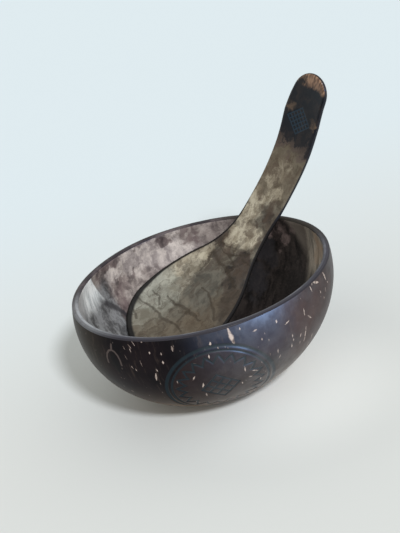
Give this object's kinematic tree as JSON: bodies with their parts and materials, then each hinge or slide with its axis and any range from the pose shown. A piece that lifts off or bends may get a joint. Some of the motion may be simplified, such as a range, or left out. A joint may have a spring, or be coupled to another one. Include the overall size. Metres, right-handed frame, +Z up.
{
  "type": "coconut shell bowl",
  "caption": "Polished half coconut shell bowl with a sanded flat to stand on and a curved shell spoon lying loose in it.",
  "frame": {"origin": "centre of the sanded flat under the bowl", "axes": "+Z up through the bowl's open mouth, +X towards the spoon's handle, +Y away from the picture's camera; the rim is level"},
  "size_m": [0.1458, 0.127, 0.1288],
  "materials": {
    "dark_shell": "dark brown coconut shell with pale fibre flecks, clear satin lacquer",
    "light_shell": "sanded and polished inner coconut shell, mottled beige and grey-brown, clear satin lacquer"
  },
  "bodies": {
    "bowl": {"bowl_shell": "dark_shell"},
    "spoon": {"spoon": "light_shell"}
  },
  "joints": [
    {"name": "spoon_lift", "type": "slide", "parent": "bowl", "child": "spoon", "axis": [0, 0, 1], "range_m": [0, 0.07]}
  ]
}
